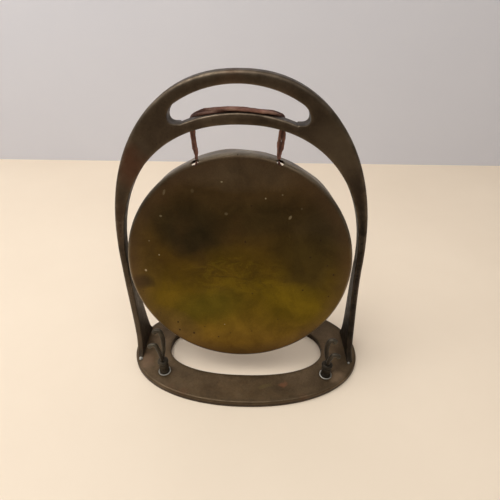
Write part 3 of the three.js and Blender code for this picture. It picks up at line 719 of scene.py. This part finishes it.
def gong_dish():
    r, wall, sh, rim, dome = (GONG[k] for k in ("radius", "wall", "shoulder", "rim", "dome"))
    flat = r - sh
    face = np.linspace(0.02, 1, 44) * flat
    arc = np.radians(np.linspace(0, 90, 12)[1:])
    outer = [(q, -dome * (1 - (q / flat) ** 2)) for q in face]
    outer += [(flat + sh * math.sin(a), sh * (1 - math.cos(a))) for a in arc]
    outer += [(r, sh + (rim - 0.6 - sh) * t) for t in np.linspace(0, 1, 12)[1:]]
    lip = [(r - 0.6 + 0.6 * math.cos(a), rim - 0.6 + 0.6 * math.sin(a)) for a in np.radians([30, 60, 90])]
    lip += [(r - wall + 0.4, rim), (r - wall + 0.1, rim - 0.15)]
    inner = [(r - wall, rim - 0.5 - (rim - 0.5 - sh) * t) for t in np.linspace(0, 1, 10)]
    inner += [(flat + (sh - wall) * math.sin(a), sh - (sh - wall) * math.cos(a)) for a in arc[::-1]]
    inner += [(q, wall - dome * (1 - (q / flat) ** 2)) for q in face[::-1]]
    profile = np.array(outer + lip + inner)
    n_out, n = len(outer), len(profile)
    steps = 288
    turn = around(steps)
    rr, back = profile[:, 0][:, None], profile[:, 1][:, None]
    depth = smooth((back - 4) / 12) * (rr > flat - 3)
    # the rim was beaten round by hand: its edge wanders in and out and in depth
    wander = 0.32 * np.sin(3 * turn + 0.6) + 0.24 * np.sin(7 * turn + 2.1) + 0.16 * np.sin(13 * turn + 4.0)
    wander = wander + 0.10 * np.sin(23 * turn + 1.0)
    rr = rr + depth * wander[None, :] - depth * 0.35
    back = back + depth * (0.35 * np.sin(2 * turn + 2.6) + 0.2 * np.sin(5 * turn + 0.4))[None, :]
    x = rr * np.cos(turn)[None, :]
    z = rr * np.sin(turn)[None, :]
    y = back + 0 * x
    # slow waves on the face
    wave = 0.10 * np.sin(x / 17 + 1.2) * np.cos(z / 21 + 0.4) + 0.05 * np.sin(x / 8 + z / 11)
    y = y + wave * smooth((flat - rr) / 12)
    grid = np.stack([x, y, z], axis=-1)
    points = grid.reshape(-1, 3)
    centres = np.array([[0, -dome, 0], [0, wall - dome, 0]])
    points = np.vstack([points, centres])
    faces = strips(n, steps)
    for j in range(steps):
        k = (j + 1) % steps
        faces.append((j, k, n * steps))
        faces.append(((n - 1) * steps + k, (n - 1) * steps + j, n * steps + 1))
    radial = np.repeat(profile[:, 0], steps)
    row = np.repeat(np.arange(n), steps)
    edge = np.append(smooth((radial - 62) / 15), [0, 0])
    rim_mask = np.append(smooth((radial - flat - 0.45 * sh) / (0.4 * sh)), [0, 0])
    rim_mask[: n * steps][row >= n_out] = 1.0
    inside_face = np.append((row > n_out + 14) * 1.0, [0, 1])
    # the band along the shoulder for the lighter line there: rubbed metal and a painted highlight
    shoulder = np.append(np.exp(-((row - 51.0) / 4.0) ** 2), [0, 0])
    values = {"edge": edge, "rim": np.maximum(rim_mask, inside_face), "turn": shoulder}
    obj = make_object("gong_disc", gong_place(points), faces, GONG_METAL, "hung_gong",
                      ["gong"], values=values)
    cutters = []
    for side, name in SIDES:
        mouth, reach = hole_mouth(side), 7 * hole_axis()
        drill = ring_tube(mouth - reach, mouth + reach, GONG["hole_r"])
        mesh = bpy.data.meshes.new("drill_" + name)
        mesh.from_pydata([tuple(p) for p in gong_place(drill[0]) * MM], [], drill[1])
        cutter = placed("drill_" + name, mesh)
        cutters.append(cutter)
        cut = obj.modifiers.new("hole", "BOOLEAN")
        cut.operation, cut.solver, cut.object = "DIFFERENCE", "EXACT", cutter
    apply_modifiers(obj)
    for cutter in cutters:
        bpy.data.objects.remove(cutter)
    obj.data.polygons.foreach_set("use_smooth", [True] * len(obj.data.polygons))
    obj.data.set_sharp_from_angle(angle=math.radians(40))


def ring_tube(start, end, radius, steps=40):
    """Closed cylinder between two points, as points and faces."""
    along = (end - start) / np.linalg.norm(end - start)
    side = np.cross(along, (1.0, 0, 0))
    side /= np.linalg.norm(side)
    other = np.cross(along, side)
    turn = around(steps)[:, None]
    ring = radius * (np.cos(turn) * side + np.sin(turn) * other)
    points = np.vstack([start + ring, end + ring])
    faces = strips(2, steps, flip=True)
    faces += [tuple(range(steps))[::-1], tuple(range(steps, 2 * steps))]
    return points, faces


# ---- swept shapes ----------------------------------------------------------------------------
def spline(controls, count):
    """Catmull-Rom through the control rows, any number of columns."""
    c = np.asarray(controls, float)
    c = np.vstack([2 * c[0] - c[1], c, 2 * c[-1] - c[-2]])
    rows = []
    for t in np.linspace(0, len(c) - 3 - 1e-9, count):
        i = int(t)
        u = t - i
        p0, p1, p2, p3 = c[i:i + 4]
        rows.append(0.5 * (2 * p1 + (p2 - p0) * u + (2 * p0 - 5 * p1 + 4 * p2 - p3) * u ** 2
                           + (3 * p1 - p0 - 3 * p2 + p3) * u ** 3))
    return np.array(rows)


def even(points, count):
    """Polyline rows at an even spacing along their first three columns."""
    at = np.concatenate([[0], np.cumsum(np.linalg.norm(np.diff(points[:, :3], axis=0), axis=1))])
    want = np.linspace(0, at[-1], count)
    return np.column_stack([np.interp(want, at, points[:, k]) for k in range(points.shape[1])])


def sweep(path, wide, width, thick, power=2.6, sides=20, rough=0.0, seed=1.0, cap=0.5):
    """Flattened round section along a path, with rounded ends. Returns points, faces, wear."""
    along = np.gradient(path, axis=0)
    along /= np.linalg.norm(along, axis=1)[:, None]
    wide = wide - along * np.sum(wide * along, axis=1)[:, None]
    wide /= np.linalg.norm(wide, axis=1)[:, None]
    up = np.cross(along, wide)
    run = np.concatenate([[0], np.cumsum(np.linalg.norm(np.diff(path, axis=0), axis=1))])
    total = run[-1]
    shrink = np.ones(len(path))
    if cap > 0:
        for end in (run / cap, (total - run) / cap):
            shrink = np.minimum(shrink, np.sqrt(np.clip(1 - (1 - np.clip(end, 0, 1)) ** 2, 0.02, 1)))
    u, v = oval(around(sides), 1.0, 1.0, power)
    points, wear_and_painted_light = [], []
    for i in range(len(path)):
        a = shrink[i] * width[i] / 2
        b = shrink[i] * thick[i] / 2
        points.append(path[i] + np.outer(u * a, wide[i]) + np.outer(v * b, up[i]))
        wear_and_painted_light.append(np.clip((np.abs(u) - 0.8) / 0.2, 0, 1))
    points = np.vstack(points)
    if rough:
        centre = np.repeat(path, sides, axis=0)
        out = points - centre
        length = np.maximum(np.linalg.norm(out, axis=1), 1e-6)[:, None]
        points = points + out / length * (rough * wobble(points, 1.3, seed))[:, None]
    n = len(path)
    faces = strips(n, sides, flip=True)
    faces.append(tuple(range(sides))[::-1])
    faces.append(tuple((n - 1) * sides + j for j in range(sides)))
    return points, faces, np.concatenate(wear_and_painted_light)


def joined(parts):
    """Several (points, faces, values) as one."""
    points, faces, values, n = [], [], [], 0
    for p, f, v in parts:
        points.append(p)
        faces += [tuple(i + n for i in face) for face in f]
        values.append(v)
        n += len(p)
    return np.vstack(points), faces, np.concatenate(values)


# ---- leather thong ---------------------------------------------------------------------------
def bar_top(x):
    return BAR["top_z"] - BAR["top_radius"] + math.sqrt(BAR["top_radius"] ** 2 - x * x)


def plait(path, spread, width, thick, turns, phase, seed, wide_hint):
    """Two flat strips that wind loosely round a shared path."""
    along = np.gradient(path, axis=0)
    along /= np.linalg.norm(along, axis=1)[:, None]
    hint = wide_hint - along * np.sum(wide_hint * along, axis=1)[:, None]
    hint /= np.linalg.norm(hint, axis=1)[:, None]
    up = np.cross(along, hint)
    t = np.linspace(0, 1, len(path))
    parts, gap_shade = [], []
    for which in (0, 1):
        angle = phase + 2 * math.pi * turns * t + math.pi * which + 0.3 * np.sin(9 * t + seed + which)
        side = np.cos(angle)[:, None] * hint + np.sin(angle)[:, None] * up * 0.55
        line = path + side * spread[:, None]
        lean = 0.5 * np.sin(angle) + 0.25 * np.sin(13 * t + seed * 2 + which)
        face = hint * np.cos(lean)[:, None] + up * np.sin(lean)[:, None]
        ragged = 1 + 0.10 * np.sin(21 * t + seed + 2 * which) + 0.06 * np.sin(47 * t + which)
        p, f, w = sweep(line, face, width * ragged, thick, rough=0.10, seed=seed + which, cap=0.7)
        ring = len(p) // len(path)
        # how near each point lies to the shared path, for painted shade between the strips
        away = np.linalg.norm(p - np.repeat(path, ring, axis=0), axis=1)
        gap_shade.append(np.clip(1.15 - away / np.repeat(spread + 0.35 * thick, ring), 0, 1))
        parts.append((p, f, w))
    points, faces, wear_and_painted_light = joined(parts)
    return points, faces, wear_and_painted_light, np.concatenate(gap_shade)


def thong_bridge():
    lift = 1.2
    x0 = SLOT["x"]
    middle = [(x0 + x, -2.0, bar_top(x) + lift) for x in (-14, -7, 0, 7, 13)]
    left = [(x0 - 28.1, 4.7, THONG_TURN_Z + 0.1), (x0 - 27.9, 4.6, 192.4), (x0 - 27.0, 4.1, 193.6),
            (x0 - 24.6, 2.9, 195.2), (x0 - 20, 0.0, bar_top(20) + lift)]
    right = [(x0 + 18.5, 0.0, bar_top(18.5) + lift), (x0 + 22.6, 2.8, 195.4),
             (x0 + 24.8, 4.1, 194.0), (x0 + 25.5, 4.6, 192.6), (x0 + 25.5, 4.6, THONG_TURN_Z + 0.1)]
    path = even(spline(left + middle + right, 400), 190)
    t = np.linspace(0, 1, len(path))
    end = smooth(np.minimum(t, 1 - t) / 0.22)
    spread = 0.72 + 0.50 * end
    hint = np.tile((0.0, 1.0, 0.0), (len(path), 1))
    points, faces, wear_and_painted_light, gap_shade = plait(path, spread, 1.8 + 0.95 * end, 1.5 + 0.65 * end, 0.55, 0.5,
                                        3.0, hint)
    make_object("lace_over_bar", points, faces, LEATHER, "stand", ["thong_bridge"],
                values={"wear_and_painted_light": wear_and_painted_light, "gap_shade": gap_shade})


def thong_strand(side, name):
    mouth = gong_place(hole_mouth(side)[None, :])[0] + (-side * STRAND_IN, 0, 0)
    across, back = (-28.1, 4.7) if side < 0 else (25.5, 4.6)
    top = np.array([SLOT["x"] + across, back, 190.65])
    mid = 0.6 * top + 0.4 * mouth
    path = even(spline([top, top - (0, 0, 1.5), (mid[0], mid[1], 181), mouth + (0, 0.3, 4.9),
                        mouth + (0, -0.15, 1.5)], 200), 90)
    t = np.linspace(0, 1, len(path))
    taper = smooth((t - 0.62) / 0.38)
    if side < 0:
        width, spread, turns, phase = 2.1 - 0.4 * taper, 0.88 - 0.32 * taper, 0.22, 0.1
    else:
        bulge = np.sin(math.pi * np.clip(t / 0.95, 0, 1)) ** 0.7
        width = 1.75 + 0.6 * bulge - 0.4 * taper
        spread, turns, phase = 0.72 + 0.42 * bulge - 0.22 * taper, 0.10, 0.1
    hint = np.tile((1.0, 0.35, 0.0) if side > 0 else (1.0, 0.15, 0.0), (len(path), 1))
    points, faces, wear_and_painted_light, gap_shade = plait(path, spread * np.ones(len(path)), width,
                                        np.full(len(path), 1.45), turns, phase, 5.0 + side, hint)
    make_object("lace_strand_" + name, points, faces, LEATHER, "strands",
                ["thong_strand_" + name], values={"wear_and_painted_light": wear_and_painted_light, "gap_shade": gap_shade})


def thong_knot(side, name):
    """Overhand knot behind the hole: an open trefoil with its end through the hole."""
    t = np.linspace(0.30, 2 * math.pi - 0.30, 150)
    loop = np.column_stack([np.sin(t) + 2 * np.sin(2 * t), -np.sin(3 * t) * 1.25,
                            np.cos(t) - 2 * np.cos(2 * t)])
    loop = loop * (1.0, 1.0, 0.86) + (0, 7.4, 0)
    lead = [(-side * 0.9, 0.4, 0.5), (-side * 0.9, 2.2, 0.5), (0.2, 4.3, 0.4)]
    tail = [(loop[-1][0] - 0.9, 8.6, loop[-1][2] - 1.6), (loop[-1][0] - 1.6, 9.2, loop[-1][2] - 3.0)]
    path = even(spline(np.vstack([lead, loop[::6], tail]), 500), 200)
    a = -GONG["hole_angle"]
    turn = np.array([[1, 0, 0], [0, math.cos(a), -math.sin(a)], [0, math.sin(a), math.cos(a)]])
    path = gong_place(path @ turn.T + hole_mouth(side))
    centre = path.mean(0)
    hint = np.cross(np.gradient(path, axis=0), path - centre)
    run = np.linspace(0, 1, len(path))
    width = 1.5 + 0.6 * smooth(run / 0.12)
    points, faces, wear_and_painted_light = sweep(path, hint, width, 0.76 * width, rough=0.10, seed=11.0 + side)
    make_object("lace_knot_" + name, points, faces, LEATHER, "hung_gong",
                ["thong_knot_" + name], values={"wear_and_painted_light": wear_and_painted_light * 0.6, "gap_shade": wear_and_painted_light * 0})


# ---- beater rests ----------------------------------------------------------------------------
def turned(name, profile, side, material, node, lump=0.0, seed=0.0):
    """Closed (radius, height) outline turned about the rest's axis, corners rounded."""
    p = np.asarray(profile, float)
    rounded = []
    for i, here in enumerate(p):
        before, after = p[i - 1], p[(i + 1) % len(p)]
        cut = min(0.28, 0.35 * np.linalg.norm(here - before), 0.35 * np.linalg.norm(after - here))
        if here[0] < 0.01:
            rounded.append(here)
            continue
        a = here + (before - here) / np.linalg.norm(before - here) * cut
        b = here + (after - here) / np.linalg.norm(after - here) * cut
        for t in (0, 0.25, 0.5, 0.75, 1):
            rounded.append((1 - t) ** 2 * a + 2 * t * (1 - t) * here + t ** 2 * b)
    p = np.array(rounded)
    steps = 72
    turn = around(steps)
    centre = np.array([side * REST["x"], REST["y"], 0])
    points = [centre + np.column_stack([r * np.cos(turn), r * np.sin(turn), np.full(steps, h)])
              for r, h in p]
    points = np.vstack(points)
    if lump:
        out = (points - centre) * (1, 1, 0)
        points = points + out / np.maximum(np.linalg.norm(out, axis=1), 0.2)[:, None] * (
            lump * wobble(points, 3.0, seed + side))[:, None]
    faces = strips(len(p), steps, flip=True)
    if p[0][0] > 0.01:  # a tube closes on itself
        last = (len(p) - 1) * steps
        faces += [(last + j, last + (j + 1) % steps, (j + 1) % steps, j) for j in range(steps)]
    radius = np.repeat(p[:, 0], steps)
    wear_and_painted_light = smooth((radius / p[:, 0].max() - 0.93) / 0.07) * np.repeat(
        [0.3 + 0.7 * (i % 5 == 2) for i in range(len(p))], steps)
    make_object(name, points, faces, material, "stand", [node], sharp=55, values={"wear_and_painted_light": wear_and_painted_light})


def beater_rest(side, name):
    r = REST["post_r"]
    b = BUSH
    turned("bush_ring_" + name, [(b["inner"], 0.6), (b["outer"], 0.6), (b["outer"], b["top"]),
                                 (b["inner"], b["top"])], side, BRIGHT, "rest_bush_" + name)
    top = REST["post_top"]
    post = [(0, 0.6), (r, 0.6), (r, 7.6), (r - 0.5, 8.1), (r - 0.5, 8.7), (r, 9.2), (r, top - 1.3),
            (r - 0.7, top - 0.6), (r - 0.7, top), (0, top)]
    turned("post_turning_" + name, post, side, FORK_BRONZE, "rest_post_" + name,
           lump=0.06, seed=2)
    rc, low, high = r + 0.5, top + 0.3, REST["collar_top"]
    collar = [(0, low), (rc - 0.5, low), (rc, low + 0.6), (rc, high - 1.1), (rc - 1.0, high), (0, high)]
    turned("collar_turning_" + name, collar, side, FORK_BRONZE, "rest_collar_" + name,
           lump=0.10, seed=6)
    for facing, where in ((-1, "front"), (1, "back")):
        rest_prong(side, name, facing, where)


def rest_prong(side, name, facing, where):
    tip = REST_TIP[side]
    root = REST["collar_top"] + 0.1
    rise = tip - root
    s = REST["spread"]
    rows = [  # out, back, z, radius
        (0.0, 1.8, root, 1.35), (0.0, 1.85, root + 1.5, 1.25), (-0.7, 0.55 * s, root + 0.3 * rise, 1.45),
        (-0.8, 0.85 * s, root + 0.68 * rise, 1.7), (0.7, 0.97 * s, tip + 0.8, 1.75),
        (3.0, s, tip + 1.8, 1.7),
        (4.8, s, tip + 0.6, 1.9), (5.6, s, tip - 0.2, 1.9), (6.2, s, tip - 0.8, 1.5),
    ]
    at = [(side * (REST["x"] + o), REST["y"] + facing * b, z, q) for o, b, z, q in rows]
    path = even(spline(at, 300), 90)
    hint = np.tile((0.0, 1.0, 0.0), (len(path), 1))
    size = 2 * path[:, 3] * (0.88 if facing < 0 else 1.04)
    points, faces, _ = sweep(path[:, :3], hint, size, size, power=2.0, sides=28, rough=0.07,
                             seed=20 + side + facing, cap=1.5)
    along = np.repeat(np.linspace(0, 1, len(path)), 28)
    wear_and_painted_light = smooth((along - 0.62) / 0.3)
    make_object("prong_%s_%s" % (where, name), points, faces, FORK_BRONZE, "stand",
                ["rest_prong_%s_%s" % (where, name)], sharp=60, values={"wear_and_painted_light": wear_and_painted_light})


# ---- braze beads at the feet -----------------------------------------------------------------
def foot_braze(side, name):
    """Half-dome of brazing metal in front of a foot, a little lumpy."""
    size = 1.0 if side < 0 else 0.65
    lean = np.radians(np.linspace(0, 90, 9))
    rings = []
    for across in np.radians(np.linspace(4, 176, 27)):
        out = math.sin(across) * size
        x = side * BRAZE["x"] + FOOT_SHIFT - BRAZE["half_width"] * size * math.cos(across)
        deep, tall = BRAZE["depth"] * out, BRAZE["height"] * out
        section = [(x, BRAZE["front"] - deep * math.cos(a), FOOT_Z + tall * math.sin(a)) for a in lean]
        rings.append(section + [(x, BRAZE["front"], FOOT_Z)])
    points = np.array(rings).reshape(-1, 3)
    corner = np.array([side * BRAZE["x"] + FOOT_SHIFT, BRAZE["front"], FOOT_Z])
    points = corner + (points - corner) * (0.93 + 0.07 * wobble(points, 1.1, 5 + side))[:, None]
    n = len(lean) + 1
    faces = [tuple(range(n)), tuple(len(points) - 1 - j for j in range(n))]
    for i in range(len(rings) - 1):
        for j in range(n):
            k = (j + 1) % n
            faces.append((i * n + k, i * n + j, (i + 1) * n + j, (i + 1) * n + k))
    make_object("braze_bead_" + name, points, faces, BRIGHT, "stand",
                ["foot_braze_" + name], sharp=50,
                values={"wear_and_painted_light": np.full(len(points), -0.7 if side < 0 else -1.0)})


base_plate()
stirrup_arch()
gong_dish()
thong_bridge()
for side, name in SIDES:
    foot_braze(side, name)
    beater_rest(side, name)
    thong_strand(side, name)
    thong_knot(side, name)


# ---- floor, light and camera -----------------------------------------------------------------
WORLD_LIGHT = 0.45
LAMPS = (
    ("key", (-0.30, -0.20, 1.15), 0.7, 7.0),
    ("side", (-0.78, -0.02, 0.72), 0.5, 2.1),
    ("far", (0.5, -0.6, 1.2), 0.8, 2.0),
)


def backdrop(name, corners, colour_a, colour_b, scale):
    mesh = bpy.data.meshes.new(name)
    mesh.from_pydata(corners, [], [(0, 1, 2, 3)])
    sheet = placed(name, mesh)
    s = Shader(name + "_paint")
    colour = s.ramp(s.noise(scale, 5, 0.6), (0.3, colour_a), (0.7, colour_b))
    mesh.materials.append(s.finish(colour, s.ramp(s.noise(8, 3), (0.3, 0.55), (0.7, 0.65)), 0.0))


def stage():
    far, wall = 3.0, 0.44
    backdrop("floor", [(-far, -far, 0), (far, -far, 0), (far, wall, 0), (-far, wall, 0)],
             (0.85, 0.71, 0.55), (0.89, 0.75, 0.585), 5.0)
    backdrop("wall", [(-far, wall, 0), (far, wall, 0), (far, wall, 2.5), (-far, wall, 2.5)],
             (0.70, 0.70, 0.75), (0.72, 0.72, 0.765), 3.0)

    world = bpy.data.worlds.new("studio")
    bpy.context.scene.world = world
    world.use_nodes = True
    nodes, links = world.node_tree.nodes, world.node_tree.links
    direction = nodes.new("ShaderNodeTexCoord").outputs["Generated"]
    split = nodes.new("ShaderNodeSeparateXYZ")
    links.new(direction, split.inputs[0])
    ramp = nodes.new("ShaderNodeValToRGB")
    ramp.color_ramp.elements[0].position = 0.0
    ramp.color_ramp.elements[0].color = (0.20, 0.19, 0.175, 1)
    ramp.color_ramp.elements[1].position = 0.75
    ramp.color_ramp.elements[1].color = (1.0, 0.965, 0.92, 1)
    links.new(split.outputs[2], ramp.inputs["Fac"])
    back = nodes["Background"]
    links.new(ramp.outputs["Color"], back.inputs["Color"])
    back.inputs["Strength"].default_value = WORLD_LIGHT

    for name, at, size, power in LAMPS:
        data = bpy.data.lights.new(name, "AREA")
        data.size = size
        data.energy = power
        light = placed(name, data)
        light.location = at
        light.rotation_euler = (Vector((0, 0, 0.08)) - Vector(at)).to_track_quat("-Z", "Y").to_euler()
    bpy.context.scene.view_settings.view_transform = "Standard"


def camera():
    data = bpy.data.cameras.new("camera")
    data.sensor_width = 36
    data.lens = 36 * 374.3 / 500
    data.clip_start = 0.01
    cam = placed("camera", data)
    cam.location = (0.0074, -0.2173, 0.2507)
    pitch, heading, roll = math.radians(34.03), math.radians(1.17), math.radians(-0.34)
    level = math.cos(pitch)
    look = Vector((-math.sin(heading) * level, math.cos(heading) * level, -math.sin(pitch)))
    turn = look.to_track_quat("-Z", "Y")
    turn.rotate(Quaternion(look, roll))
    cam.rotation_mode = "QUATERNION"
    cam.rotation_quaternion = turn
    bpy.context.scene.camera = cam


stage()
camera()
